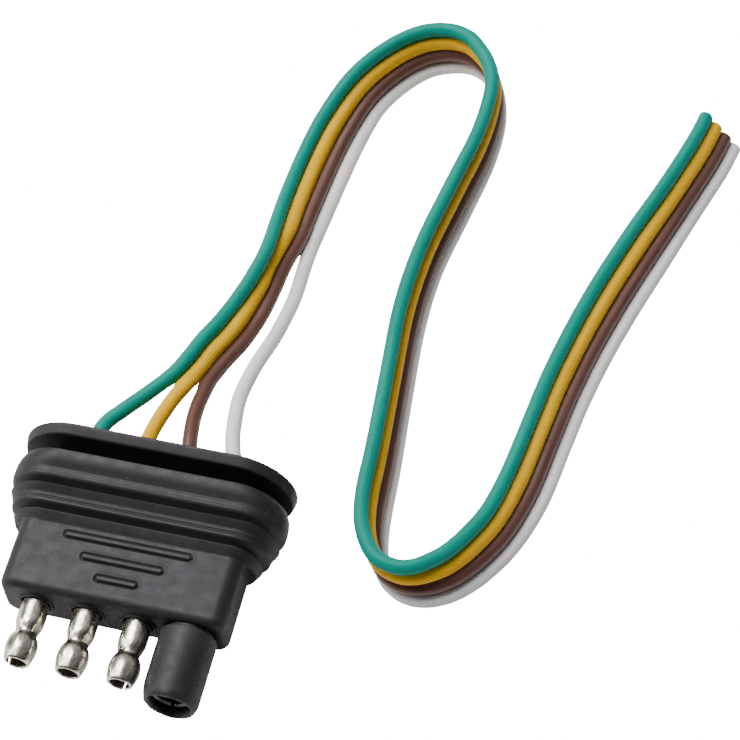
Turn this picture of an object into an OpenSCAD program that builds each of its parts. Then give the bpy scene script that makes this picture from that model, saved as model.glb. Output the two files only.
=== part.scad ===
// Moulded four-way flat trailer-light connector with its bonded four-wire ribbon.
// Units are millimetres. X runs along the row of contacts, with the shrouded ground at +X.
// The contacts point to -Y, the wires leave to +Y, and Z = 0 is the surface the part lies on.
// Shapes are drawn with Y = 0 at the block's front face; placed() then centres the moulding on Y.

/* [Contacts] */
// centre distance between neighbouring contacts
pitch = 7.6; // [7.2:0.1:8]
// largest diameter of the bare bullet pins
bullet_d = 4.58; // [4.4:0.02:4.7]
// diameter of a pin's waist behind the bulb
waist_d = 2.9; // [2.6:0.1:3.2]
// diameter of a pin's shank at the face of the block
shank_d = 4.1; // [3.8:0.1:4.2]
// how far the bare pins stand out of the block
pin_out = 9.7; // [9.2:0.1:10.4]
// sheet thickness of the formed terminals
sheet = 0.45; // [0.35:0.05:0.55]
// bore of the ground sleeve that takes a bullet
sleeve_bore_d = 4.6; // [4.5:0.05:4.8]

/* [Moulded body] */
// width of the block
block_w = 33.4; // [32:0.2:35]
// thickness of the block
block_t = 9.2; // [8.8:0.1:9.8]
// length of the smooth front part of the block
block_l = 10.6; // [10:0.1:11]
// outside diameter of the shroud round the ground sleeve
shroud_d = 8.5; // [8.2:0.1:8.7]
// how far the shroud stands out of the block
shroud_out = 11.5; // [11:0.1:12.6]
// bore of the shroud
shroud_bore_d = 5.7; // [5.5:0.05:5.8]
// width of the oval rear flange
flange_w = 41.6; // [41.2:0.2:43]
// height of the oval rear flange
flange_h = 18; // [17:0.2:19]
// thickness of the rear flange
flange_t = 1.7; // [1.4:0.1:2]
// height of the raised outline of the grip bars
bar_rise = 0.4; // [0.2:0.1:0.6]

/* [Wires] */
// outside diameter of one wire's insulation
wire_d = 2.3; // [2.1:0.05:2.35]
// centre distance of the bonded wires in the ribbon
web_pitch = 2.47; // [2.45:0.01:2.6]
// diameter of the bundle of bare copper strands
copper_d = 1.2; // [1:0.1:1.4]

/* [Hidden] */
fn = 48;
gap = 0.02;
axis_z = flange_h / 2;
row = [-1.5 * pitch, -0.5 * pitch, 0.5 * pitch, 1.5 * pitch];
// length of the moulding behind its front face, and where its flange starts
body_l = 24.9;
flange_y = body_l - flange_t;
// inside the moulding: end of the terminals' wide part, start of the strands,
// end of the crimp barrels, and start of the insulation
wide_y = 3;
strand_y = 6.5;
crimp_y = 12;
jacket_y = 15;
crimp_r = 1.15;
// closed end of the ground sleeve and how far its mouth lies inside the shroud's
sleeve_end_y = 1.6;
sleeve_inset = 1.4;
// width of the slots in the formed terminals
slot_w = 0.5;
// how far the first control point inside the flange lies from the rear face
exit_in = 0.5;
// the thin neck between the last rib and the flange
neck_w = 33;
neck_h = 9;
// stacked ovals of the strain relief: width, height, start and end
relief = [
  [36.2, 9.6, block_l, 11.4], [37.5, 10.9, 11.3, 12.3], [36.6, 9.3, 12.2, 13.1],
  [39.1, 11.7, 13, 15.2], [40.7, 13.1, 15.1, 16.2], [39.6, 11.8, 16.1, 16.9],
  [41.5, 13.7, 16.8, 18.7], [41.2, 14.8, 18.6, 20.2], [40, 15, 20.1, 21]
];
// grip bars: width and position; then their height and the width of their outline
bars = [[19, 9.4], [12.2, 6.45], [6.3, 3.5]];
bar_h = 1.1;
bar_line = 0.3;
wr = wire_d / 2;

rubber = [0.13, 0.13, 0.14];
nickel = [0.78, 0.76, 0.72];
copper = [0.75, 0.42, 0.25];
c_green = [0.03, 0.58, 0.5];
c_yellow = [0.82, 0.65, 0.13];
c_brown = [0.33, 0.2, 0.18];
c_white = [0.82, 0.81, 0.8];

// Where the ribbon's lowest wire lies: x, y and the ribbon's lean from upright in degrees,
// positive to the left of the way it runs.
ribbon = [
  [9.7, 72.8, 48], [10.3, 78.8, 56], [11.2, 87.8, 60], [12.1, 94.8, 54], [13.6, 101.8, 41],
  [16.5, 107.3, 33], [19.8, 111, 25], [23, 112.6, 16], [25.9, 113.1, 4], [28.5, 112.4, -6],
  [30.9, 110.4, -10], [32.6, 106.5, -9], [33.5, 101.4, -12], [33.3, 93.9, -14],
  [31.8, 84.1, -16], [29.9, 72.1, -16], [29.7, 61.1, -19], [30.7, 48.3, -20], [31.8, 36.6, -22],
  [32.4, 28, -23], [33.2, 22.8, -19], [34.6, 18.9, -10], [36.7, 16.9, 0], [39.3, 16, 11],
  [42.5, 16.5, 22], [45.9, 18.6, 29], [49.2, 22.5, 35], [52.2, 28, 40], [54.5, 35.6, 47],
  [55.8, 45, 47], [57, 53.5, 48], [58.8, 62.4, 49], [61.2, 71.5, 51], [64.2, 81.4, 50],
  [67, 90.8, 43], [69.9, 100.1, 44], [71.2, 105.7, 44]
];
// How each wire gets from the flange to the ribbon: x, y, z.
fan_green = [
  [-10.8, 30, 8.9], [-8.5, 33.5, 9], [-5.9, 37.1, 8.8], [-3.2, 41.2, 8.7], [-1.7, 44.7, 8.7],
  [-0.7, 48.2, 8.3], [0.6, 51.3, 8.1], [1.4, 54.1, 7.5], [2.4, 57.3, 7.4], [3.5, 61.4, 7.5],
  [4.4, 66.6, 7.5]
];
fan_yellow = [
  [-3.5, 30.1, 8.7], [-2.9, 33.6, 8.6], [-1.9, 37.4, 8.4], [-1, 40.3, 7.8], [0, 43.6, 7.3],
  [1, 47, 6.9], [2.4, 50.6, 6.5], [3.4, 54.1, 6], [4.1, 57.7, 5.6], [4.8, 61.8, 5.4],
  [5, 65.6, 5.2]
];
fan_brown = [
  [2.6, 30.4, 8.7], [1.9, 34.4, 8], [1.7, 37.4, 7.4], [1.8, 40.3, 6.8], [2, 43, 6.1],
  [3.1, 46.7, 5.6], [4.5, 50.4, 5.1], [5.3, 53.8, 4.4], [6.1, 57.6, 4.1], [6.6, 62.2, 3.8],
  [7, 67.3, 3.4]
];
fan_white = [
  [9.2, 30.5, 8.9], [8.2, 34.4, 8.3], [7.4, 40.5, 7], [7.8, 47.4, 5.2], [8.9, 54.3, 3.4],
  [9.6, 62.1, 1.9], [9.6, 68.4, 1.5]
];

module placed() {
  translate([0, (shroud_out - body_l) / 2, 0])
    children();
}

// ---- vector help ----
function unit(v) = v / norm(v);
function flat_dir(i) =
  let (a = ribbon[max(i - 1, 0)], b = ribbon[min(i + 1, len(ribbon) - 1)])
  unit([b[0] - a[0], b[1] - a[1], 0]);
function rule_dir(i) =
  let (t = flat_dir(i), l = ribbon[i][2])
  [-t[1] * sin(l), t[0] * sin(l), cos(l)];
function ribbon_point(i, k) =
  [ribbon[i][0], ribbon[i][1], wr + gap] + k * web_pitch * rule_dir(i);

// control points of wire k, counted from the lowest wire of the ribbon
function controls(x, fan, k) = concat(
  [[x, jacket_y, axis_z], [x, 20, axis_z], [x, body_l - exit_in, axis_z]],
  fan,
  [for (i = [0 : len(ribbon) - 1]) ribbon_point(i, k)]
);
// smooth curve through the control points, with one ring more inside each long span
function blend(a, b, c, d, t) =
  0.5 * (2 * b + (c - a) * t + (2 * a - 5 * b + 4 * c - d) * t * t
    + (3 * b - a - 3 * c + d) * t * t * t);
function steps(p, i) = norm(p[i + 1] - p[i]) > 6.6 ? 2 : 1;
function smooth(p) = concat(
  [for (i = [0 : len(p) - 2]) for (s = [0 : steps(p, i) - 1])
    blend(
      i > 0 ? p[i - 1] : 2 * p[0] - p[1], p[i], p[i + 1],
      i < len(p) - 2 ? p[i + 2] : 2 * p[i + 1] - p[i], s / steps(p, i)
    )],
  [p[len(p) - 1]]
);
function tangent(c, i) = unit(c[min(i + 1, len(c) - 1)] - c[max(i - 1, 0)]);
function ring(c, i, r, n) =
  let (t = tangent(c, i), s = unit(cross(t, [0, 0, 1])), u = cross(s, t))
  [for (j = [0 : n - 1]) c[i] + r * (cos(360 * j / n) * s + sin(360 * j / n) * u)];

module tube(c, r, n) {
  m = len(c);
  pts = [for (i = [0 : m - 1]) each ring(c, i, r, n)];
  sides = [for (i = [0 : m - 2]) for (j = [0 : n - 1])
    each [
      [i * n + j, i * n + (j + 1) % n, (i + 1) * n + j],
      [i * n + (j + 1) % n, (i + 1) * n + (j + 1) % n, (i + 1) * n + j]
    ]];
  caps = [[for (j = [n - 1 : -1 : 0]) j], [for (j = [0 : n - 1]) (m - 1) * n + j]];
  polyhedron(points = pts, faces = concat(sides, caps), convexity = 10);
}

// ---- shapes along the contact axis ----
// turns a profile drawn as [radius, y] about a contact's axis
module spun(x) {
  translate([x, 0, axis_z])
    rotate([-90, 0, 0])
      rotate_extrude($fn = fn)
        children();
}
module rod(x, y0, y1, r) {
  translate([x, y0, axis_z])
    rotate([-90, 0, 0])
      cylinder(h = y1 - y0, r = r, $fn = fn);
}

// slab with half round ends, from y0 to y1
module oval(w, h, y0, y1) {
  translate([0, y1, axis_z])
    rotate([90, 0, 0])
      linear_extrude(y1 - y0)
        union() {
          square([w - h, h], center = true);
          translate([(w - h) / 2, 0])
            circle(d = h, $fn = 64);
          translate([-(w - h) / 2, 0])
            circle(d = h, $fn = 64);
        }
}
module soft_box(w, h, y0, y1, r) {
  translate([0, y1, axis_z])
    rotate([90, 0, 0])
      linear_extrude(y1 - y0)
        union() {
          square([w - 2 * r, h], center = true);
          square([w, h - 2 * r], center = true);
          for (sx = [-1, 1])
            for (sz = [-1, 1])
              translate([sx * (w / 2 - r), sz * (h / 2 - r)])
                circle(r = r, $fn = 32);
        }
}

// raised outline with round ends, on the upper face of the block
module grip_bar(w, y) {
  root = 0.3;
  translate([0, y, axis_z + block_t / 2 - root])
    linear_extrude(bar_rise + root)
      difference() {
        bar_outline(w, bar_h);
        bar_outline(w - 2 * bar_line, bar_h - 2 * bar_line);
      }
}
module bar_outline(w, h) {
  union() {
    square([w - h, h], center = true);
    translate([(w - h) / 2, 0])
      circle(d = h, $fn = 24);
    translate([-(w - h) / 2, 0])
      circle(d = h, $fn = 24);
  }
}

module body_outside() {
  soft_box(block_w - 1.6, block_t - 1.8, 0, 0.5, 1.6);
  soft_box(block_w - 0.6, block_t - 0.7, 0.4, 1.1, 1.9);
  soft_box(block_w, block_t, 1, block_l + 0.5, 2.2);
  soft_box(neck_w, neck_h, block_l, flange_y + 0.5, 2.2);
  for (o = relief)
    oval(o[0], o[1], o[2], o[3]);
  oval(flange_w, flange_h, flange_y, body_l);
  for (b = bars)
    grip_bar(b[0], b[1]);
  rod(row[3], -shroud_out + 1, 1, shroud_d / 2);
  rod(row[3], -shroud_out + 0.4, 0, shroud_d / 2 - 0.35);
  rod(row[3], -shroud_out, 0, shroud_d / 2 - 0.9);
  for (i = [0 : 2])
    rod(row[i], -0.5, 1, shank_d / 2 + 0.55);
}

module cavities() {
  for (i = [0 : 2])
    rod(row[i], -1, wide_y + gap, shank_d / 2 + gap);
  rod(row[3], -shroud_out - 1, -0.4, shroud_bore_d / 2);
  rod(row[3], -0.5, wide_y + gap, sleeve_bore_d / 2 + sheet + gap);
  for (x = row) {
    rod(x, wide_y - 0.5, crimp_y + gap, crimp_r + gap);
    rod(x, crimp_y - 1, jacket_y, copper_d / 2 + gap);
    rod(x, jacket_y - gap, body_l + 1, wr + gap);
  }
}

module moulded_body() {
  placed()
    color(rubber)
      difference() {
        body_outside();
        cavities();
      }
}

// rear of every terminal: a closed step and the crimp barrel round the strands
module crimp_profile(r_front, y_front) {
  hole = copper_d / 2 + gap;
  polygon([
    [r_front, y_front], [r_front, wide_y], [crimp_r, wide_y], [crimp_r, crimp_y],
    [hole, crimp_y], [hole, strand_y], [0, strand_y], [0, y_front]
  ]);
}

// hollow bullet of formed sheet: rounded tip, bulb, waist and shank
module bullet(x, turn) {
  b = bullet_d / 2;
  w = waist_d / 2;
  s = shank_d / 2;
  t = sheet;
  tip = -pin_out;
  waist = tip + 4.3;
  closed_y = wide_y - 0.8;
  difference() {
    union() {
      spun(x)
        polygon([
          [1.3, tip], [1.7, tip], [2.05, tip + 0.6], [b, tip + 1.4], [b, tip + 3],
          [b - 0.2, tip + 3.6], [w, waist], [w, waist + 0.5], [s - 0.2, -3.9], [s, -3.2],
          [s, closed_y + 0.2], [s - t, closed_y + 0.2], [s - t, -3.2], [s - t - 0.2, -3.9],
          [w - t, waist + 0.5], [w - t, waist], [b - t, tip + 3], [b - t, tip + 1.4]
        ]);
      spun(x)
        crimp_profile(s, closed_y);
    }
    // slot across the hollow tip
    translate([x, tip + 1.2, axis_z])
      rotate([0, turn, 0])
        cube([slot_w, 4, 6], center = true);
    // seam where the rolled sheet meets
    translate([x, -2.2, axis_z])
      rotate([0, turn + 62, 0])
        translate([0, 0, s])
          cube([0.2, 3.6, 1.4], center = true);
  }
}

module green_bullet_terminal() {
  placed()
    color(nickel)
      bullet(row[0], 38);
}
module yellow_bullet_terminal() {
  placed()
    color(nickel)
      bullet(row[1], 75);
}
module brown_bullet_terminal() {
  placed()
    color(nickel)
      bullet(row[2], 8);
}

// open-ended sleeve, flared inside its mouth, with a gap along its underside
module ground_socket_terminal() {
  r = sleeve_bore_d / 2;
  mouth = sleeve_inset - shroud_out;
  placed()
    color(nickel)
      difference() {
        spun(row[3])
          union() {
            polygon([
              [r, mouth + 0.3], [r + 0.25, mouth], [r + sheet, mouth],
              [r + sheet, wide_y], [r, wide_y]
            ]);
            crimp_profile(r + sheet, sleeve_end_y);
          }
        translate([row[3], mouth + 4.8, axis_z - r])
          cube([slot_w, 9.6, 1.6], center = true);
      }
}

module green_wire_jacket() {
  placed()
    color(c_green)
      tube(smooth(controls(row[0], fan_green, 3)), wr, 8);
}
module yellow_wire_jacket() {
  placed()
    color(c_yellow)
      tube(smooth(controls(row[1], fan_yellow, 2)), wr, 8);
}
module brown_wire_jacket() {
  placed()
    color(c_brown)
      tube(smooth(controls(row[2], fan_brown, 1)), wr, 8);
}
module white_wire_jacket() {
  placed()
    color(c_white)
      tube(smooth(controls(row[3], fan_white, 0)), wr, 8);
}

// bare strands between the crimp's bottom and the end of the insulation
module strands(x) {
  placed()
    color(copper)
      rod(x, strand_y, jacket_y, copper_d / 2);
}
module green_copper_strands() {
  strands(row[0]);
}
module yellow_copper_strands() {
  strands(row[1]);
}
module brown_copper_strands() {
  strands(row[2]);
}
module white_copper_strands() {
  strands(row[3]);
}

moulded_body();
green_bullet_terminal();
yellow_bullet_terminal();
brown_bullet_terminal();
ground_socket_terminal();
green_wire_jacket();
yellow_wire_jacket();
brown_wire_jacket();
white_wire_jacket();
green_copper_strands();
yellow_copper_strands();
brown_copper_strands();
white_copper_strands();
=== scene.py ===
import math
import random

import bmesh
import bpy
import numpy as np
from mathutils import Matrix, Vector


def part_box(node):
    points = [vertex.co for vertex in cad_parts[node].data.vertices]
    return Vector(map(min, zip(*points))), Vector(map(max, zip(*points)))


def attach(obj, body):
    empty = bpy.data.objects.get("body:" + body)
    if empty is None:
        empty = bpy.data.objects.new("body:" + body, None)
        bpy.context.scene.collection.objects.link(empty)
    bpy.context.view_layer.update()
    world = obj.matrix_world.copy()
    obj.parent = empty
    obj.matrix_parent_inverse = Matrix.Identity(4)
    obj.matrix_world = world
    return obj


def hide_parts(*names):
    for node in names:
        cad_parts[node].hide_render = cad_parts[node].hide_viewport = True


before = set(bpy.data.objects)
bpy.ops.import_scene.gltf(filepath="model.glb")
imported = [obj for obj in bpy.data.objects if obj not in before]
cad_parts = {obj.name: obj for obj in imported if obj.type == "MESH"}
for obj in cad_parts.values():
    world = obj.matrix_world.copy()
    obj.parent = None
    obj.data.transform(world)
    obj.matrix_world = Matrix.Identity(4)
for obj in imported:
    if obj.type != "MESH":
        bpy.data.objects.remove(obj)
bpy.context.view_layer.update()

# Lengths below are in millimetres unless they say otherwise; at() turns them into metres.
# As in the CAD source, y = 0 is the front face of the block that the contacts stand on.
MM = 0.001
BODY_LENGTH = 24.9
BODY_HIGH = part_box("moulded_body")[1]
FACE_Y = BODY_HIGH.y - BODY_LENGTH * MM
AXIS_Z = BODY_HIGH.z / 2 / MM
COLOURS = ("green", "yellow", "brown", "white")
TERMINALS = ("green_bullet_terminal", "yellow_bullet_terminal", "brown_bullet_terminal",
             "ground_socket_terminal")


def middle_x(node):
    low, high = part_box(node)
    return (low.x + high.x) / 2 / MM


ROW = [middle_x(node) for node in TERMINALS]


def at(points):
    """Millimetres in the block's own frame to metres in the row frame."""
    return np.asarray(points, float) * MM + np.array([0, FACE_Y, 0])


def smoothstep(value, start, end):
    t = np.clip((value - start) / (end - start), 0, 1)
    return t * t * (3 - 2 * t)


def unit(v):
    return v / np.linalg.norm(v, axis=-1, keepdims=True)


# ---- camera ----

def make_camera():
    yaw, elevation, roll = (math.radians(a) for a in (18.211, 57.895, -5.097))
    target = Vector(at((23.92, 53.36, 0)))
    distance = 398.1 * MM
    back = Vector((math.sin(yaw) * math.cos(elevation), -math.cos(yaw) * math.cos(elevation),
                   math.sin(elevation)))
    right = Vector((math.cos(yaw), math.sin(yaw), 0))
    up = back.cross(right)
    turned_right = math.cos(roll) * right + math.sin(roll) * up
    turned_up = math.cos(roll) * up - math.sin(roll) * right
    camera = bpy.data.objects.new("camera", bpy.data.cameras.new("camera"))
    camera.data.lens = 126.1
    camera.data.clip_start = 0.01
    turn = Matrix((turned_right, turned_up, back)).transposed()
    camera.matrix_world = Matrix.Translation(target + distance * back) @ turn.to_4x4()
    bpy.context.scene.collection.objects.link(camera)
    bpy.context.scene.camera = camera


make_camera()


# ---- node helpers ----

def new_material(name):
    """An empty node material with its Principled shader, and short ways to add and link nodes."""
    material = bpy.data.materials.new(name)
    material.use_nodes = True
    tree = material.node_tree
    shader = tree.nodes["Principled BSDF"]
    return material, tree, shader


def add(tree, kind, inputs=(), **settings):
    """Adds a node. inputs is a dict of socket name or number to a value or to another socket."""
    node = tree.nodes.new("ShaderNode" + kind)
    for key, value in settings.items():
        setattr(node, key, value)
    for key, value in dict(inputs).items():
        socket = node.inputs[key]
        if isinstance(value, bpy.types.NodeSocket):
            tree.links.new(value, socket)
        else:
            socket.default_value = value
    return node


def ramp(tree, factor, stops):
    """A colour ramp over factor, from (place, colour or grey) stops."""
    node = add(tree, "ValToRGB", {"Fac": factor})
    elements = node.color_ramp.elements
    while len(elements) < len(stops):
        elements.new(0.5)
    for element, (place, colour) in zip(elements, stops):
        element.position = place
        element.color = (*colour, 1) if isinstance(colour, tuple) else (colour,) * 3 + (1,)
    return node.outputs["Color"]


def object_noise(tree, scale, detail=3.0, stretch=(1, 1, 1), roughness=0.5):
    """Noise fixed to the object, at a scale per metre, stretched along its axes."""
    place = add(tree, "TexCoord").outputs["Object"]
    mapping = add(tree, "Mapping", {"Vector": place, "Scale": stretch})
    noise = add(tree, "TexNoise", {"Vector": mapping.outputs["Vector"], "Scale": scale,
                                   "Detail": detail, "Roughness": roughness})
    return noise.outputs["Fac"]


def round_noise(tree, along, around, detail=2.0, seed=0.0):
    """Noise on a round skin, whose UV map holds millimetres along and turns around."""
    uv = add(tree, "SeparateXYZ", {"Vector": add(tree, "TexCoord").outputs["UV"]})
    angle = add(tree, "Math", {0: uv.outputs["Y"], 1: 2 * math.pi}, operation="MULTIPLY")
    cosine = add(tree, "Math", {0: angle.outputs[0]}, operation="COSINE")
    sine = add(tree, "Math", {0: angle.outputs[0]}, operation="SINE")
    length = add(tree, "Math", {0: uv.outputs["X"], 1: along, 2: seed}, operation="MULTIPLY_ADD")
    place = add(tree, "CombineXYZ", {"X": length.outputs[0], "Y": cosine.outputs[0],
                                     "Z": sine.outputs[0]})
    noise = add(tree, "TexNoise", {"Vector": place.outputs["Vector"], "Scale": around,
                                   "Detail": detail})
    return noise.outputs["Fac"]


def mix(tree, factor, a, b, kind="MIX"):
    node = add(tree, "Mix", data_type="RGBA", blend_type=kind)
    for socket, value in zip((node.inputs["Factor"], node.inputs[6], node.inputs[7]),
                             (factor, a, b)):
        if isinstance(value, bpy.types.NodeSocket):
            tree.links.new(value, socket)
        elif isinstance(value, tuple):
            socket.default_value = (*value, 1)
        else:
            socket.default_value = value
    return node.outputs[2]


def bump(tree, height, strength, distance, below=None):
    inputs = {"Height": height, "Strength": strength, "Distance": distance}
    if below is not None:
        inputs["Normal"] = below
    return add(tree, "Bump", inputs).outputs["Normal"]


# ---- materials ----

def black_rubber():
    """Satin black thermoplastic rubber: fine moulded grain, faint flow marks, and a painted
    highlight that lightens convex edges.
    """
    material, tree, shader = new_material("black_rubber")
    flow = object_noise(tree, 90, 4, (1, 0.35, 1))
    base = ramp(tree, flow, [(0.3, (0.0112, 0.0106, 0.0125)), (0.7, (0.0160, 0.0151, 0.0178))])
    dust = ramp(tree, object_noise(tree, 2600, 2), [(0.60, 0.0), (0.78, 1.0)])
    speckled = mix(tree, dust, base, (0.028, 0.027, 0.030))
    # Painted highlight: convex edges (high pointiness) are mixed towards a lighter grey.
    edge = ramp(tree, add(tree, "NewGeometry").outputs["Pointiness"], [(0.505, 0.0), (0.56, 1.0)])
    edge_highlighted = mix(tree, edge, speckled, (0.032, 0.031, 0.035))
    tree.links.new(edge_highlighted, shader.inputs["Base Color"])
    rough = ramp(tree, object_noise(tree, 700, 3), [(0.25, 0.46), (0.75, 0.60)])
    tree.links.new(rough, shader.inputs["Roughness"])
    shader.inputs["Specular IOR Level"].default_value = 0.34
    shader.inputs["Specular Tint"].default_value = (1.0, 0.95, 1.0, 1)
    grain = bump(tree, object_noise(tree, 5200, 2), 0.35, 0.02 * MM)
    waves = bump(tree, object_noise(tree, 420, 2), 0.25, 0.08 * MM, grain)
    tree.links.new(waves, shader.inputs["Normal"])
    return material


def vinyl(name, dark, light, roughness, sheen):
    """Extruded PVC insulation: fine draw lines, slow colour drift and a soft sheen."""
    material, tree, shader = new_material(name)
    seed = float(sum(map(ord, name)) % 97)
    drift = round_noise(tree, 0.05, 1.3, 3, seed)
    lines = round_noise(tree, 0.03, 14, 3, seed)
    base = ramp(tree, drift, [(0.3, dark), (0.7, light)])
    streak = ramp(tree, lines, [(0.35, 0.90), (0.65, 1.06)])
    base = mix(tree, 1.0, base, streak, "MULTIPLY")
    scuff = ramp(tree, round_noise(tree, 1.4, 5, 4, seed + 9), [(0.62, 0.0), (0.75, 0.35)])
    base = mix(tree, scuff, base, tuple(0.82 * c + 0.02 for c in dark))
    tree.links.new(base, shader.inputs["Base Color"])
    rough = ramp(tree, lines, [(0.3, roughness - 0.05), (0.7, roughness + 0.08)])
    tree.links.new(rough, shader.inputs["Roughness"])
    shader.inputs["Specular IOR Level"].default_value = sheen
    drawn = bump(tree, lines, 0.30, 0.02 * MM)
    uneven = bump(tree, round_noise(tree, 0.35, 1.6, 3, seed + 4), 0.45, 0.10 * MM, drawn)
    tree.links.new(uneven, shader.inputs["Normal"])
    return material


def plated(name, light, dark, rough_low, rough_high, metallic=1.0):
    """Nickel-plated sheet: drawing streaks, worn highlights and faint tarnish."""
    material, tree, shader = new_material(name)
    shader.inputs["Metallic"].default_value = metallic
    streaks = round_noise(tree, 0.12, 9, 4)
    clouds = object_noise(tree, 900, 3)
    base = mix(tree, ramp(tree, streaks, [(0.32, 0.0), (0.68, 1.0)]), dark, light)
    tarnish = ramp(tree, clouds, [(0.45, 0.0), (0.72, 0.55)])
    base = mix(tree, tarnish, base, tuple(0.55 * c for c in dark))
    tree.links.new(base, shader.inputs["Base Color"])
    rough = ramp(tree, clouds, [(0.3, rough_low), (0.7, rough_high)])
    tree.links.new(rough, shader.inputs["Roughness"])
    drawn = bump(tree, round_noise(tree, 0.5, 16, 3, 5.0), 0.35, 0.03 * MM)
    dents = bump(tree, object_noise(tree, 650, 2), 0.55, 0.12 * MM, drawn)
    tree.links.new(dents, shader.inputs["Normal"])
    return material


def bare_copper():
    """Drawn copper strands, a little oxidised between them."""
    material, tree, shader = new_material("bare_copper")
    shader.inputs["Metallic"].default_value = 1.0
    clouds = object_noise(tree, 1800, 3)
    base = ramp(tree, clouds, [(0.3, (0.52, 0.22, 0.11)), (0.7, (0.86, 0.46, 0.28))])
    tree.links.new(base, shader.inputs["Base Color"])
    rough = ramp(tree, clouds, [(0.3, 0.42), (0.7, 0.26)])
    tree.links.new(rough, shader.inputs["Roughness"])
    tree.links.new(bump(tree, object_noise(tree, 9000, 2), 0.3, 0.02 * MM), shader.inputs["Normal"])
    return material


RUBBER = black_rubber()
NICKEL = plated("plated_terminal", (0.97, 0.935, 0.81), (0.50, 0.475, 0.39), 0.16, 0.32)
# Painted shade: a darker, less metallic copy of the plating for the bullets' inner faces, standing
# in for the shade inside them.
NICKEL_INSIDE_PAINTED_SHADE = plated("plated_terminal_inside_painted_shade", (0.50, 0.43, 0.34), (0.28, 0.24, 0.19),
                       0.40, 0.60, 0.6)
# Painted shade: a very dark copy of the plating for the ground sleeve, which sits in shade inside
# the shroud.
SLEEVE_PAINTED_SHADE = plated("plated_terminal_sleeve_painted_shade", (0.20, 0.19, 0.16), (0.09, 0.085, 0.07),
                   0.40, 0.60)
COPPER = bare_copper()
INSULATION = {
    "green": vinyl("green_insulation", (0.0, 0.225, 0.168), (0.0, 0.275, 0.212), 0.42, 0.10),
    "yellow": vinyl("yellow_insulation", (0.70, 0.38, 0.006), (0.84, 0.47, 0.009), 0.42, 0.10),
    "brown": vinyl("brown_insulation", (0.085, 0.033, 0.022), (0.125, 0.052, 0.036), 0.34, 0.48),
    "white": vinyl("white_insulation", (0.76, 0.75, 0.73), (0.85, 0.84, 0.82), 0.40, 0.22),
}


# ---- mesh helpers ----

def link_mesh(name, points, faces, material, uvs=None):
    """A smooth-shaded piece from points in metres; uvs has one pair for each face corner."""
    mesh = bpy.data.meshes.new(name)
    mesh.from_pydata([tuple(map(float, p)) for p in points], [], faces)
    mesh.polygons.foreach_set("use_smooth", [True] * len(mesh.polygons))
    if uvs is not None:
        layer = mesh.uv_layers.new(name="UVMap")
        layer.data.foreach_set("uv", np.asarray(uvs, np.float32).ravel())
    mesh.materials.append(material)
    piece = bpy.data.objects.new(name, mesh)
    bpy.context.scene.collection.objects.link(piece)
    return piece


def ring_faces(rings, sides, first=0):
    """Quads between rings of points that close on themselves."""
    return [(first + i * sides + j, first + i * sides + (j + 1) % sides,
             first + (i + 1) * sides + (j + 1) % sides, first + (i + 1) * sides + j)
            for i in range(rings - 1) for j in range(sides)]


def ring_uvs(along, sides):
    """UVs for ring_faces: millimetres along, and turns around."""
    return [uv for i in range(len(along) - 1) for j in range(sides)
            for uv in ((along[i], j / sides), (along[i], (j + 1) / sides),
                       (along[i + 1], (j + 1) / sides), (along[i + 1], j / sides))]


# ---- the wires ----

WIRE_R = 1.15
WEB_PITCH = 2.47
GAP = 0.02
JACKET_Y = 15.0
RING_STEP = 0.65
WIRE_SIDES = 32
STRAND_R = 0.115

# Where the ribbon's lowest wire lies: x, y and the ribbon's lean from upright in degrees.
RIBBON = [
    [9.7, 72.8, 48], [10.3, 78.8, 56], [11.2, 87.8, 60], [12.1, 94.8, 54], [13.6, 101.8, 41],
    [16.5, 107.3, 33], [19.8, 111, 25], [23, 112.6, 16], [25.9, 113.1, 4], [28.5, 112.4, -6],
    [30.9, 110.4, -10], [32.6, 106.5, -9], [33.5, 101.4, -12], [33.3, 93.9, -14], [31.8, 84.1, -16],
    [29.9, 72.1, -16], [29.7, 61.1, -19], [30.7, 48.3, -20], [31.8, 36.6, -22], [32.4, 28, -23],
    [33.2, 22.8, -19], [34.6, 18.9, -10], [36.7, 16.9, 0], [39.3, 16, 11], [42.5, 16.5, 22],
    [45.9, 18.6, 29], [49.2, 22.5, 35], [52.2, 28, 40], [54.5, 35.6, 47], [55.8, 45, 47],
    [57, 53.5, 48], [58.8, 62.4, 49], [61.2, 71.5, 51], [64.2, 81.4, 50], [67, 90.8, 43],
    [69.9, 100.1, 44], [71.2, 105.7, 44],
]
# How each wire gets from the flange to the ribbon.
FANS = {
    "green": [
        [-10.8, 30, 8.9], [-8.5, 33.5, 9], [-5.9, 37.1, 8.8], [-3.2, 41.2, 8.7], [-1.7, 44.7, 8.7],
        [-0.7, 48.2, 8.3], [0.6, 51.3, 8.1], [1.4, 54.1, 7.5], [2.4, 57.3, 7.4], [3.5, 61.4, 7.5],
        [4.4, 66.6, 7.5],
    ],
    "yellow": [
        [-3.5, 30.1, 8.7], [-2.9, 33.6, 8.6], [-1.9, 37.4, 8.4], [-1, 40.3, 7.8], [0, 43.6, 7.3],
        [1, 47, 6.9], [2.4, 50.6, 6.5], [3.4, 54.1, 6], [4.1, 57.7, 5.6], [4.8, 61.8, 5.4],
        [5, 65.6, 5.2],
    ],
    "brown": [
        [2.6, 30.4, 8.7], [1.9, 34.4, 8], [1.7, 37.4, 7.4], [1.8, 40.3, 6.8], [2, 43, 6.1],
        [3.1, 46.7, 5.6], [4.5, 50.4, 5.1], [5.3, 53.8, 4.4], [6.1, 57.6, 4.1], [6.6, 62.2, 3.8],
        [7, 67.3, 3.4],
    ],
    "white": [
        [9.2, 30.5, 8.9], [8.2, 34.4, 8.3], [7.4, 40.5, 7], [7.8, 47.4, 5.2], [8.9, 54.3, 3.4],
        [9.6, 62.1, 1.9], [9.6, 68.4, 1.5],
    ],
}


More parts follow.
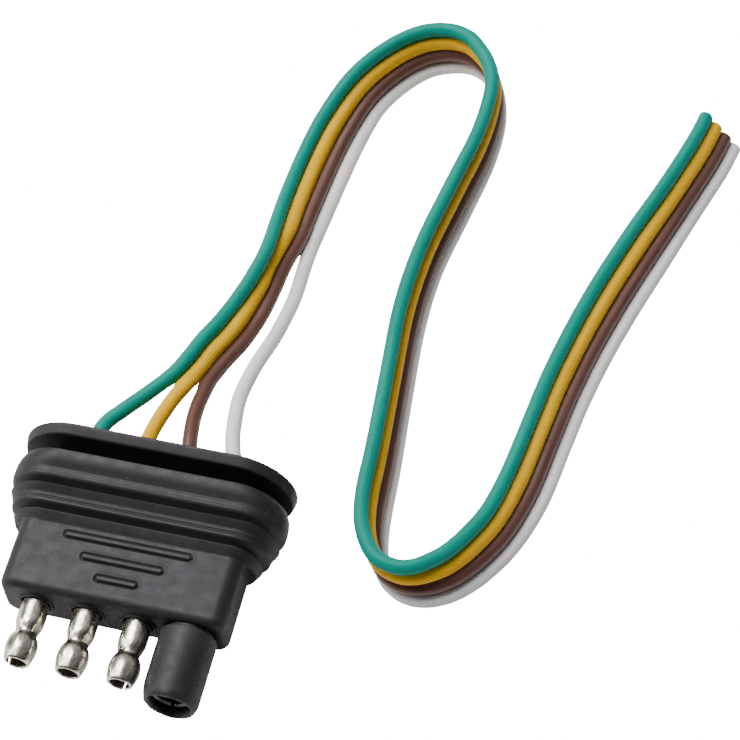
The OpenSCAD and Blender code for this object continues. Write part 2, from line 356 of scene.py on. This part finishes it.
def ribbon_points(place):
    """The ribbon's points for the wire at that place, counted from the lowest wire."""
    route = np.array(RIBBON, float)
    flat = route[:, :2]
    along = np.vstack([flat[1] - flat[0], flat[2:] - flat[:-2], flat[-1] - flat[-2]])
    tx, ty = unit(along).T
    lean = np.radians(route[:, 2])
    rule = np.stack([-ty * np.sin(lean), tx * np.sin(lean), np.cos(lean)], 1)
    floor_points = np.column_stack([flat, np.full(len(flat), WIRE_R + GAP)])
    return floor_points + place * WEB_PITCH * rule


def smooth_line(points, step):
    """Points about step apart on the Catmull-Rom curve through the given points."""
    p = np.vstack([2 * points[0] - points[1], points, 2 * points[-1] - points[-2]])
    spans = []
    for a, b, c, d in zip(p, p[1:], p[2:], p[3:]):
        count = max(1, round(float(np.linalg.norm(c - b)) / step))
        t = np.arange(count)[:, None] / count
        spans.append(0.5 * (2 * b + (c - a) * t + (2 * a - 5 * b + 4 * c - d) * t ** 2
                            + (3 * b - a - 3 * c + d) * t ** 3))
    return np.vstack([*spans, points[-1:]])


def centre_line(index):
    start = [[ROW[index], y, AXIS_Z] for y in (JACKET_Y, 20, BODY_LENGTH - 0.5)]
    fan = FANS[COLOURS[index]]
    return smooth_line(np.vstack([start, fan, ribbon_points(3 - index)]), RING_STEP)


def nearest_on(line, points):
    """For each point, the nearest point of the polyline."""
    a, ab = line[:-1], np.diff(line, axis=0)
    t = np.einsum("psk,sk->ps", points[:, None] - a[None], ab) / np.einsum("sk,sk->s", ab, ab)
    found = a[None] + np.clip(t, 0, 1)[..., None] * ab[None]
    best = np.argmin(np.linalg.norm(found - points[:, None], axis=2), axis=1)
    return found[np.arange(len(points)), best]


def tangents(line):
    return unit(np.gradient(line, axis=0))


def bonded_radius(directions, to_neighbour):
    """Radius of a wire's skin along each direction, with a low web towards a bonded neighbour."""
    distance = np.linalg.norm(to_neighbour, axis=1)
    cosine = np.einsum("rsk,rk->rs", directions, unit(to_neighbour))
    angle = np.degrees(np.arccos(np.clip(cosine, -1, 1)))
    web = 1 - smoothstep(angle, 12, 36)
    bond = 1 - smoothstep(distance, 2.60, 2.85)
    half_way = distance[:, None] / 2 / np.maximum(cosine, 0.5)
    return WIRE_R + (half_way - WIRE_R) * web * bond[:, None]


def wire_rings(line, neighbours):
    """Rings of the wire's skin; the first neighbour's direction is where a ring starts."""
    t = tangents(line)
    towards = [nearest_on(other, line) - line for other in neighbours]
    first = towards[0]
    u = unit(first - np.einsum("rk,rk->r", first, t)[:, None] * t)
    v = np.cross(t, u)
    angles = 2 * np.pi * np.arange(WIRE_SIDES) / WIRE_SIDES
    directions = (np.cos(angles)[None, :, None] * u[:, None]
                  + np.sin(angles)[None, :, None] * v[:, None])
    radius = np.max([bonded_radius(directions, w) for w in towards], axis=0)
    return t, directions, radius


def make_wire(index, lines):
    """One insulated wire of the ribbon, from inside the moulding to its cut end, and its copper."""
    colour = COLOURS[index]
    line = lines[index]
    # the bonded neighbours, the first of them being the one on the ribbon's upper side
    near = {0: [1], 1: [0, 2], 2: [1, 3], 3: [2]}[index]
    t, directions, radius = wire_rings(line, [lines[i] for i in near])
    rings = [line[i] + radius[i][:, None] * directions[i] for i in range(len(line))]
    end, way, spokes, rim = line[-1], t[-1], directions[-1], radius[-1]
    slant = 0.12 * np.einsum("sk,k->s", spokes, np.array([0, 0, 1.0]))
    for back, inset in ((-0.06, 0.02), (-0.015, 0.07), (0.0, 0.16)):
        rings.append(end + (back + 0.13 + slant)[:, None] * way + (rim - inset)[:, None] * spokes)
    for back, r in ((0.0, 0.66), (-0.05, 0.62), (-1.2, 0.62)):
        rings.append(end + (back + 0.13 + slant * r)[:, None] * way + r * spokes)
    sides = WIRE_SIDES
    points = [p for ring in rings for p in ring]
    along = np.concatenate([[0], np.cumsum(np.linalg.norm(np.diff(line, axis=0), axis=1))])
    along = np.append(along, [along[-1] + 0.1 * (k + 1) for k in range(6)])
    faces = ring_faces(len(rings), sides)
    uvs = ring_uvs(along, sides)
    last = (len(rings) - 1) * sides
    caps = [tuple(reversed(range(sides))), tuple(range(last, last + sides))]
    uvs += [(0.0, j / sides) for j in reversed(range(sides))]
    uvs += [(along[-1], j / sides) for j in range(sides)]
    piece = link_mesh(colour + "_wire", at(points), faces + caps, INSULATION[colour], uvs)
    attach(piece, "root")
    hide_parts(colour + "_wire_jacket")
    strands = make_strand_ends(colour, end, way, spokes[0])
    return piece


def make_strand_ends(colour, end, way, spoke):
    """The nineteen bare strands that show in the cut end, cut a little unevenly."""
    rng = random.Random("strands " + colour)
    other = np.cross(way, spoke)
    pitch = 2 * STRAND_R * 1.03
    places = [(0.0, 0.0)] + [(pitch * n * math.cos(a), pitch * n * math.sin(a))
                             for n in (1, 2)
                             for a in (2 * math.pi * k / (6 * n) for k in range(6 * n))]
    sides = 10
    points, faces = [], []
    for x, y in places:
        x *= 0.97 if math.hypot(x, y) > 1.5 * pitch else 1
        tip = rng.uniform(-0.04, 0.12)
        centre = end + x * spoke + y * other
        first = len(points)
        for back, r in ((-1.0, STRAND_R), (tip - 0.03, STRAND_R), (tip, STRAND_R * 0.7)):
            for j in range(sides):
                a = 2 * math.pi * j / sides
                points.append(centre + back * way + r * (math.cos(a) * spoke + math.sin(a) * other))
        faces += ring_faces(3, sides, first)
        faces.append(tuple(first + j for j in reversed(range(sides))))
        faces.append(tuple(first + 2 * sides + j for j in range(sides)))
    piece = link_mesh(colour + "_strand_ends", at(points), faces, COPPER)
    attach(piece, "root")
    return piece


centre_lines = [centre_line(index) for index in range(4)]
for index in range(4):
    make_wire(index, centre_lines)


# ---- the moulded body ----

BLOCK_W, BLOCK_H, BLOCK_R = 33.4, 9.2, 2.2
PROFILE_SIDES = 64
CORNER_STEPS = 16
BOTTOM_STEPS = 28
PARTING_RISE = 0.05
SHANK_R = 2.05
CRIMP_R = 1.15
CRIMP_START, CRIMP_END = 3.0, 12.0
COPPER_R = 0.6
SLEEVE_R = 2.75
SHROUD_R = 4.25
SHROUD_TIP = -11.5
SHROUD_BORE = 2.85
# grip bars on the upper face: length and place
BARS = [(19.0, 9.4), (12.2, 6.45), (6.3, 3.5)]
BAR_R = 0.53


def oval(y, width, height, soft=0.3):
    """A station of a rib, with almost half-round ends."""
    return (y, width, height, height / 2 - 0.2, soft)


def front_curve():
    """Stations of the rounded front edge: 1.1 mm in from above and below, 1 mm from the sides."""
    turns = [math.pi / 2 * k / 9 for k in range(10)]
    return [(1.4 * (1 - math.cos(t)), BLOCK_W - 2.0 * (1 - math.sin(t)),
             BLOCK_H - 2.2 * (1 - math.sin(t)), BLOCK_R - 0.6 * (1 - math.sin(t)), 0)
            for t in turns]


# Stations of the outside: y, width, height, corner radius, and how much the profile is rounded
# there.
STATIONS = front_curve() + [
    (10.65, BLOCK_W, BLOCK_H, BLOCK_R, 0.22),
    oval(10.85, 36.2, 9.4, 0.16),
    oval(12.1, 37.5, 10.9, 0.05),
    oval(12.2, 36.6, 9.1, 0.05),
    oval(12.6, 36.6, 9.2, 0.10),
    oval(13.2, 38.6, 11.2, 0.22),
    oval(13.45, 39.0, 11.65, 0.18),
    oval(13.8, 39.1, 11.6, 0.14),
    oval(14.05, 39.2, 11.3, 0.10),
    oval(14.28, 39.3, 11.65, 0.12),
    oval(14.5, 39.5, 11.65, 0.12),
    oval(14.68, 39.6, 11.55, 0.10),
    oval(15.8, 40.6, 13.1, 0.05),
    oval(15.88, 39.8, 10.9, 0.05),
    oval(16.35, 39.8, 10.9, 0.14),
    oval(17.0, 40.9, 13.05, 0.30),
    oval(17.45, 41.3, 13.5, 0.25),
    oval(17.75, 41.4, 13.38, 0.12),
    oval(18.05, 41.5, 13.5, 0.20),
    oval(18.4, 41.5, 13.4, 0.14),
    oval(19.5, 41.4, 14.7, 0.50),
    oval(20.3, 41.0, 15.2, 0.50),
    oval(21.1, 40.2, 15.3, 0.20),
    (21.15, 31.0, 6.4, BLOCK_R, 0.20),
    (23.1, 31.0, 6.4, BLOCK_R, 0.20),
    oval(23.2, 40.6, 16.7, 0.30),
    oval(24.9, 41.4, 18.0, 0.55),
    oval(24.9, 40.0, 16.6, 0),
]


def rounded_stations(stations):
    """The stations with each inner one replaced by a short curve, and long spans left straight."""
    keys = [np.array(s[:4], float) for s in stations]
    soft = [s[4] for s in stations]
    weight = np.array([1, 0.5, 0.5, 0])
    out = [keys[0]]
    for i in range(1, len(keys) - 1):
        a, k, b = keys[i - 1], keys[i], keys[i + 1]
        if not soft[i]:
            out.append(k)
            continue
        before, after = np.linalg.norm((a - k) * weight), np.linalg.norm((b - k) * weight)
        start = k + (a - k) * min(0.49, soft[i] / before)
        end = k + (b - k) * min(0.49, soft[i] / after)
        steps = 6 if soft[i] > 0.2 else 4
        out += [(1 - t) ** 2 * start + 2 * t * (1 - t) * k + t * t * end
                for t in np.linspace(0, 1, steps + 1)]
    return out + [keys[-1]]


def with_bar_rows(stations):
    """Adds close stations where the grip bars are."""
    rows = {round(place + offset, 3) for _, place in BARS for offset in np.arange(-1.2, 1.21, 0.1)}
    rows = sorted(y for y in rows if 1.5 < y < 10.3)
    flat = [np.array([y, BLOCK_W, BLOCK_H, BLOCK_R]) for y in [*rows, 1.9, 4.95, 7.95]]
    return sorted([*stations, *flat], key=lambda s: s[0])


def top_shares():
    """Places across the flat top as shares of its half width, close together over the bars."""
    half = BLOCK_W / 2 - BLOCK_R
    inner = np.arange(-10.2, 10.21, 0.1)
    outer = np.linspace(10.6, half, 9)
    return np.concatenate([-outer[::-1], inner, outer]) / half


TOP = top_shares()


def bar_relief(x, y):
    """Height of the grip bars: a low pad inside a narrow engraved outline."""
    height = 0.0
    for length, place in BARS:
        beyond = np.maximum(np.abs(x) - (length / 2 - BAR_R), 0)
        depth = np.hypot(beyond, y - place) - BAR_R
        pad = 0.21 * (1 - smoothstep(depth, -0.30, -0.06))
        groove = 0.20 * np.exp(-((depth + 0.01) / 0.14) ** 2)
        lip = 0.05 * np.exp(-((depth - 0.32) / 0.13) ** 2)
        height = height + pad - groove + lip
    return height


def section(station):
    """Points round the outside at one station, clockwise from the top's left end."""
    y, width, height, r = station
    half_w, half_h = width / 2 - r, height / 2 - r
    arc = np.linspace(0, np.pi / 2, CORNER_STEPS + 1)[1:-1]
    x = TOP * half_w
    top = np.column_stack([x, np.full(len(x), height / 2)])
    if 1.4 < y < 10.4:
        top[:, 1] += bar_relief(x, y)
    right_top = np.column_stack([half_w + r * np.sin(arc), half_h + r * np.cos(arc)])
    line = min(0.12, half_h * 0.6)
    side = np.array([[width / 2, half_h], [width / 2, line], [width / 2 + PARTING_RISE, 0],
                     [width / 2, -line], [width / 2, -half_h]])
    right_low = np.column_stack([half_w + r * np.cos(arc), -half_h - r * np.sin(arc)])
    low_x = np.linspace(half_w, -half_w, BOTTOM_STEPS + 1)
    low = np.column_stack([low_x, np.full(len(low_x), -height / 2)])
    left_low = right_low[::-1] * (-1, 1)
    left_top = right_top[::-1] * (-1, 1)
    flat = np.vstack([top, right_top, side, right_low, low, left_low, side[::-1] * (-1, 1),
                      left_top])
    return np.column_stack([flat[:, 0], np.full(len(flat), y), flat[:, 1] + AXIS_Z])


def lathe_rings(x, profile, sides=PROFILE_SIDES, warp=None):
    """Rings about a contact's axis from (radius, y) pairs."""
    a = 2 * np.pi * np.arange(sides) / sides
    rings = []
    for r, y in profile:
        rr = r + (warp(a, r, y) if warp else 0)
        rings.append(np.column_stack([x + rr * np.cos(a), np.full(sides, y),
                                      AXIS_Z + rr * np.sin(a)]))
    return rings


def arc_profile(centre, radius, start, end, steps):
    """(radius, y) pairs of a fillet; angles in degrees from the +radius direction towards +y."""
    angles = np.radians(np.linspace(start, end, steps))
    return [(centre[0] + radius * math.cos(a), centre[1] + radius * math.sin(a)) for a in angles]


def pin_channel():
    """From the collar round a pin, along the pocket that holds the terminal, to the wire's exit."""
    collar = [*arc_profile((2.72, -0.12), 0.12, 90, 180, 4),
              *arc_profile((2.44, -0.22), 0.1, 0, -90, 4), (2.34, -0.30), (2.26, -0.24),
              (2.22, 0.1), (SHANK_R + GAP, 0.9)]
    return collar + [(SHANK_R + GAP, CRIMP_START + GAP)] + rear_channel()


def rear_channel():
    """The crimp's pocket, the strands' and the wire's, and the lip round the wire's exit."""
    rear = BODY_LENGTH
    lip = [(WIRE_R + 0.03, rear + 0.05), (1.28, rear + 0.24), (1.45, rear + 0.27),
           (1.62, rear + 0.2), *arc_profile((1.95, rear + 0.18), 0.18, 180, 270, 4)]
    return [(CRIMP_R + GAP, CRIMP_START + GAP), (CRIMP_R + GAP, CRIMP_END + GAP),
            (COPPER_R + GAP, CRIMP_END + GAP), (COPPER_R + GAP, JACKET_Y - GAP),
            (WIRE_R + GAP, JACKET_Y - GAP), *lip]


def socket_channel():
    """The shroud's outside, its chamfered tip and bore, then the pocket of the ground sleeve."""
    tip = SHROUD_TIP
    outside = [(3.55, 0), (3.46, -0.2), (3.52, -0.42), (3.95, -0.52), (4.16, -0.64),
               (SHROUD_R, -0.85), (SHROUD_R, -4), (SHROUD_R, -7.5), (SHROUD_R, -8.5),
               (SHROUD_R, -9.2), (SHROUD_R, -9.9), (4.22, tip + 1.1), (4.12, tip + 0.7),
               (4.02, tip + 0.4), (3.93, tip + 0.2), (3.8, tip + 0.06), (3.62, tip),
               (3.48, tip + 0.02), (3.38, tip + 0.1), (3.26, tip + 0.3), (3.05, tip + 0.8),
               (SHROUD_BORE, tip + 1.3)]
    bore = [(SHROUD_BORE, -9), (SHROUD_BORE, -0.4), (SLEEVE_R + GAP, -0.4),
            (SLEEVE_R + GAP, CRIMP_START + GAP)]
    return outside + bore + rear_channel()


def worn_tip(a, r, y):
    """The shroud's tip narrows a little on the green wire's side, and its mouth is uneven."""
    pinch = 0.42 * smoothstep(-y, 8.3, 11.4) * np.maximum(0, -np.cos(a - 0.3)) ** 1.5
    near = 1 - smoothstep(y, SHROUD_TIP + 0.4, SHROUD_TIP + 1.2)
    edge = 1 - smoothstep(r, 3.6, 3.9)
    wave = (0.09 * np.sin(3 * a + 0.6) + 0.07 * np.sin(5 * a + 2.1) + 0.05 * np.sin(11 * a)
            + 0.03 * np.sin(17 * a + 1.2))
    facets = 0.06 * np.cos(8 * a + 0.4) * smoothstep(-y, 10.4, 11.3) * (1 - near * edge)
    return near * edge * (wave - 0.05) + (facets - 0.06 - pinch) * (1 if r > 3.0 else 0.0)


def make_body():
    mesh = bmesh.new()
    stations = with_bar_rows(rounded_stations(STATIONS))
    loops = [[mesh.verts.new(p) for p in at(section(s))] for s in stations]
    channels = [lathe_rings(x, pin_channel()) for x in ROW[:3]]
    channels.append(lathe_rings(ROW[3], socket_channel(), warp=worn_tip))
    strips = [loops] + [[[mesh.verts.new(p) for p in at(ring)] for ring in rings]
                        for rings in channels]
    for strip in strips:
        for one, two in zip(strip, strip[1:]):
            for j in range(len(one)):
                k = (j + 1) % len(one)
                mesh.faces.new((one[j], one[k], two[k], two[j])).smooth = True
    mesh.edges.ensure_lookup_table()
    for end in (0, -1):
        rims = [strip[end] for strip in strips]
        chosen = {v for rim in rims for v in rim}
        edges = [e for e in mesh.edges if e.is_boundary and set(e.verts) <= chosen]
        bmesh.ops.triangle_fill(mesh, use_beauty=True, edges=edges)
    bmesh.ops.recalc_face_normals(mesh, faces=mesh.faces[:])
    data = bpy.data.meshes.new("moulded_housing")
    mesh.to_mesh(data)
    mesh.free()
    data.set_sharp_from_angle(angle=math.radians(50))
    data.materials.append(RUBBER)
    piece = bpy.data.objects.new("moulded_housing", data)
    bpy.context.scene.collection.objects.link(piece)
    weighted = piece.modifiers.new("weighted", "WEIGHTED_NORMAL")
    weighted.keep_sharp = True
    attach(piece, "root")
    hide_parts("moulded_body")


make_body()


# ---- the terminals ----

SHEET = 0.45
# outside of a bullet: radius and place along its axis
BULLET = [
    (1.42, -9.44), (1.45, -9.60), (1.56, -9.69), (1.70, -9.70), (1.83, -9.62), (1.93, -9.40),
    (2.03, -9.0), (2.12, -8.6), (2.20, -8.2), (2.27, -7.75), (2.29, -7.3), (2.26, -6.8),
    (2.19, -6.4), (2.08, -6.06), (1.93, -5.74), (1.79, -5.5), (1.70, -5.3), (1.66, -5.12),
    (1.67, -4.92), (1.73, -4.7), (1.84, -4.42), (1.94, -4.1), (2.02, -3.75), (2.05, -3.4),
    (2.05, -2.9), (2.05, -2.3), (2.05, -1.6), (2.05, -0.9), (2.05, -0.2), (2.05, 1.2),
    (2.05, 2.5), (1.97, 2.85), (1.6, 3.0), (1.3, 3.02), (1.15, 3.2), (1.15, 7.0), (1.15, 12.0),
]
SLEEVE = [
    (2.66, -10.10), (2.73, -10.03), (2.75, -9.9), (2.75, -9.0), (2.75, -6.0), (2.75, -2.0),
    (2.75, 1.6), (2.70, 2.7), (2.3, 2.95), (1.6, 3.0), (1.25, 3.05), (1.15, 3.3), (1.15, 12.0),
]


def rolled_sheet(name, x, profile, columns, left_out, dent, material, inside):
    """A terminal rolled from sheet, without the faces that left_out says are slots or a seam."""
    points, uvs, faces = [], [], []
    count = len(columns)
    for r, y in profile:
        for a in columns:
            rr = r + dent(a, y)
            points.append((x + rr * math.cos(a), y, AXIS_Z + rr * math.sin(a)))
    for i in range(len(profile) - 1):
        mid_y = (profile[i][1] + profile[i + 1][1]) / 2
        for j in range(count):
            k = (j + 1) % count
            mid = columns[j] + (((columns[k] - columns[j]) % (2 * math.pi)) / 2)
            if left_out(mid % (2 * math.pi), mid_y):
                continue
            faces.append((i * count + j, i * count + k, (i + 1) * count + k, (i + 1) * count + j))
            v0 = columns[j] / (2 * math.pi)
            v1 = columns[k] / (2 * math.pi) if k else 1.0
            uvs += [(profile[i][1], v0), (profile[i][1], v1), (profile[i + 1][1], v1),
                    (profile[i + 1][1], v0)]
    piece = link_mesh(name, at(points), faces, material, uvs)
    piece.data.materials.append(inside)
    used = bmesh.new()
    used.from_mesh(piece.data)
    bmesh.ops.delete(used, geom=[v for v in used.verts if not v.link_faces], context="VERTS")
    bmesh.ops.recalc_face_normals(used, faces=used.faces[:])
    used.to_mesh(piece.data)
    used.free()
    return piece


def finish_sheet(piece):
    """Gives the sheet its thickness, inward, and softens its edges."""
    solid = piece.modifiers.new("sheet", "SOLIDIFY")
    solid.thickness = SHEET * MM
    solid.offset = -1
    solid.use_even_offset = False
    # Inner faces take the second material; for the bullets that is the darker copy painted as
    # shade.
    solid.material_offset = 1
    solid.material_offset_rim = 0
    edge = piece.modifiers.new("edge", "BEVEL")
    edge.width = 0.05 * MM
    edge.segments = 2
    edge.limit_method = "ANGLE"
    edge.angle_limit = math.radians(50)
    weighted = piece.modifiers.new("weighted", "WEIGHTED_NORMAL")
    weighted.keep_sharp = True


def angles_with(special, count):
    """Evenly spaced angles plus the special ones, without near doubles."""
    even = [2 * math.pi * j / count for j in range(count)]
    kept = [a for a in even if all(abs((a - s + math.pi) % (2 * math.pi) - math.pi) > 0.04
                                   for s in special)]
    return sorted(kept + [s % (2 * math.pi) for s in special])


def turned(angle, centre):
    """Signed difference of two angles."""
    return (angle - centre + math.pi) % (2 * math.pi) - math.pi


def make_bullet(index, slot_at, seam_at, dents):
    """slot_at and seam_at are angles in degrees, 0 towards +X and 90 upwards."""
    slot, seam = math.radians(slot_at), math.radians(seam_at)
    half_slot, half_seam = 0.13, 0.018
    columns = angles_with([slot - half_slot, slot + half_slot, seam - half_seam, seam + half_seam],
                          72)

    def left_out(angle, y):
        in_slot = abs(turned(angle, slot)) < half_slot and y < -7.4
        in_seam = abs(turned(angle, seam)) < half_seam and -7.0 < y < 2.4
        return in_slot or in_seam

    def dent(angle, y):
        depth = 0.0
        for centre, place, size, wide, long in dents:
            depth -= size * math.exp(-(turned(angle, math.radians(centre)) / wide) ** 2
                                     - ((y - place) / long) ** 2)
        bulb = math.exp(-((y + 7.6) / 1.1) ** 2)
        shank = math.exp(-((y + 2.6) / 1.5) ** 2)
        lobes = 0.035 * math.cos(7 * angle + slot_at) + 0.02 * math.cos(11 * angle + 1.7 * seam_at)
        return depth + lobes * bulb + 0.018 * math.cos(6 * angle + seam_at) * shank

    piece = rolled_sheet(COLOURS[index] + "_bullet_pin", ROW[index], BULLET, columns, left_out,
                         dent, NICKEL, NICKEL_INSIDE_PAINTED_SHADE)
    finish_sheet(piece)
    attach(piece, "root")
    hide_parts(TERMINALS[index])


def make_sleeve():
    gap_at, half_gap = math.radians(270), 0.09
    columns = angles_with([gap_at - half_gap, gap_at + half_gap], 72)

    def left_out(angle, y):
        return abs(turned(angle, gap_at)) < half_gap and y < 1.0

    # Both faces of the sleeve get the plating darkened as painted shade.
    piece = rolled_sheet("ground_socket_sleeve", ROW[3], SLEEVE, columns, left_out,
                         lambda a, y: 0.0, SLEEVE_PAINTED_SHADE, SLEEVE_PAINTED_SHADE)
    finish_sheet(piece)
    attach(piece, "root")
    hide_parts(TERMINALS[3])


# dents: angle, place, depth, width in radians, length in millimetres
make_bullet(0, 215, 140, [(20, -4.4, 0.34, 0.55, 0.8), (150, -4.3, 0.25, 0.5, 0.7)])
make_bullet(1, 330, 120, [(35, -4.4, 0.34, 0.55, 0.8), (160, -4.2, 0.22, 0.5, 0.7)])
make_bullet(2, 285, 150, [(10, -4.3, 0.30, 0.6, 0.8), (130, -4.3, 0.25, 0.5, 0.7)])
make_sleeve()


# ---- carried-over CAD nodes: the strands inside the moulding ----

for colour in COLOURS:
    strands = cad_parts[colour + "_copper_strands"]
    strands.data.materials.clear()
    strands.data.materials.append(COPPER)


# ---- floor and light ----

def make_floor():
    mesh = bpy.data.meshes.new("floor")
    half = 6.0
    mesh.from_pydata([(-half, -half, -0.05 * MM), (half, -half, -0.05 * MM),
                      (half, half, -0.05 * MM), (-half, half, -0.05 * MM)], [], [(0, 1, 2, 3)])
    floor = bpy.data.objects.new("floor", mesh)
    bpy.context.scene.collection.objects.link(floor)
    material, tree, shader = new_material("floor")
    shader.inputs["Base Color"].default_value = (0.9, 0.9, 0.9, 1)
    shader.inputs["Roughness"].default_value = 0.9
    shader.inputs["Specular IOR Level"].default_value = 0.1
    seen = add(tree, "LightPath").outputs["Is Camera Ray"]
    glow = add(tree, "Math", {0: seen, 1: 20.0}, operation="MULTIPLY")
    tree.links.new(glow.outputs[0], shader.inputs["Emission Strength"])
    shader.inputs["Emission Color"].default_value = (1, 1, 1, 1)
    mesh.materials.append(material)


def area_light(name, place, target, size, watts, colour=(1, 1, 1)):
    light = bpy.data.lights.new(name, "AREA")
    light.shape = "RECTANGLE"
    light.size, light.size_y = size
    light.energy = watts
    light.color = colour
    lamp = bpy.data.objects.new(name, light)
    lamp.location = place
    lamp.rotation_euler = (Vector(target) - Vector(place)).to_track_quat("-Z", "Y").to_euler()
    bpy.context.scene.collection.objects.link(lamp)


def make_world():
    world = bpy.data.worlds.new("world")
    bpy.context.scene.world = world
    world.use_nodes = True
    tree = world.node_tree
    background = tree.nodes["Background"]
    way = add(tree, "SeparateXYZ", {"Vector": add(tree, "TexCoord").outputs["Generated"]})
    height = add(tree, "MapRange", {"Value": way.outputs["Z"], "From Min": -0.1, "From Max": 1.0})
    shade = ramp(tree, height.outputs[0], [(0.0, (0.50, 0.49, 0.43)),
                                           (0.35, (0.35, 0.345, 0.34)), (1.0, (0.88, 0.87, 0.92))])
    depth = add(tree, "MapRange", {"Value": way.outputs["Y"], "From Min": -1.0, "From Max": 1.0})
    front = ramp(tree, depth.outputs[0], [(0.0, 0.03), (0.40, 0.26), (0.75, 1.0)])
    shade = mix(tree, 1.0, shade, front, "MULTIPLY")
    across = add(tree, "MapRange", {"Value": way.outputs["X"], "From Min": -1.0, "From Max": 1.0})
    side = ramp(tree, across.outputs[0], [(0.4, 1.0), (0.95, 0.45)])
    shade = mix(tree, 1.0, shade, side, "MULTIPLY")
    seen = add(tree, "LightPath").outputs["Is Camera Ray"]
    tree.links.new(mix(tree, seen, shade, (20.0, 20.0, 20.0)), background.inputs["Color"])
    background.inputs["Strength"].default_value = 1.0


make_floor()
make_world()
area_light("key", (-0.35, 0.25, 0.9), (0.02, 0.03, 0), (0.5, 0.7), 14)
area_light("left_strip", (-0.55, -0.05, 0.40), (0.0, 0.0, 0), (0.15, 0.8), 2.5, (1.0, 0.98, 0.92))
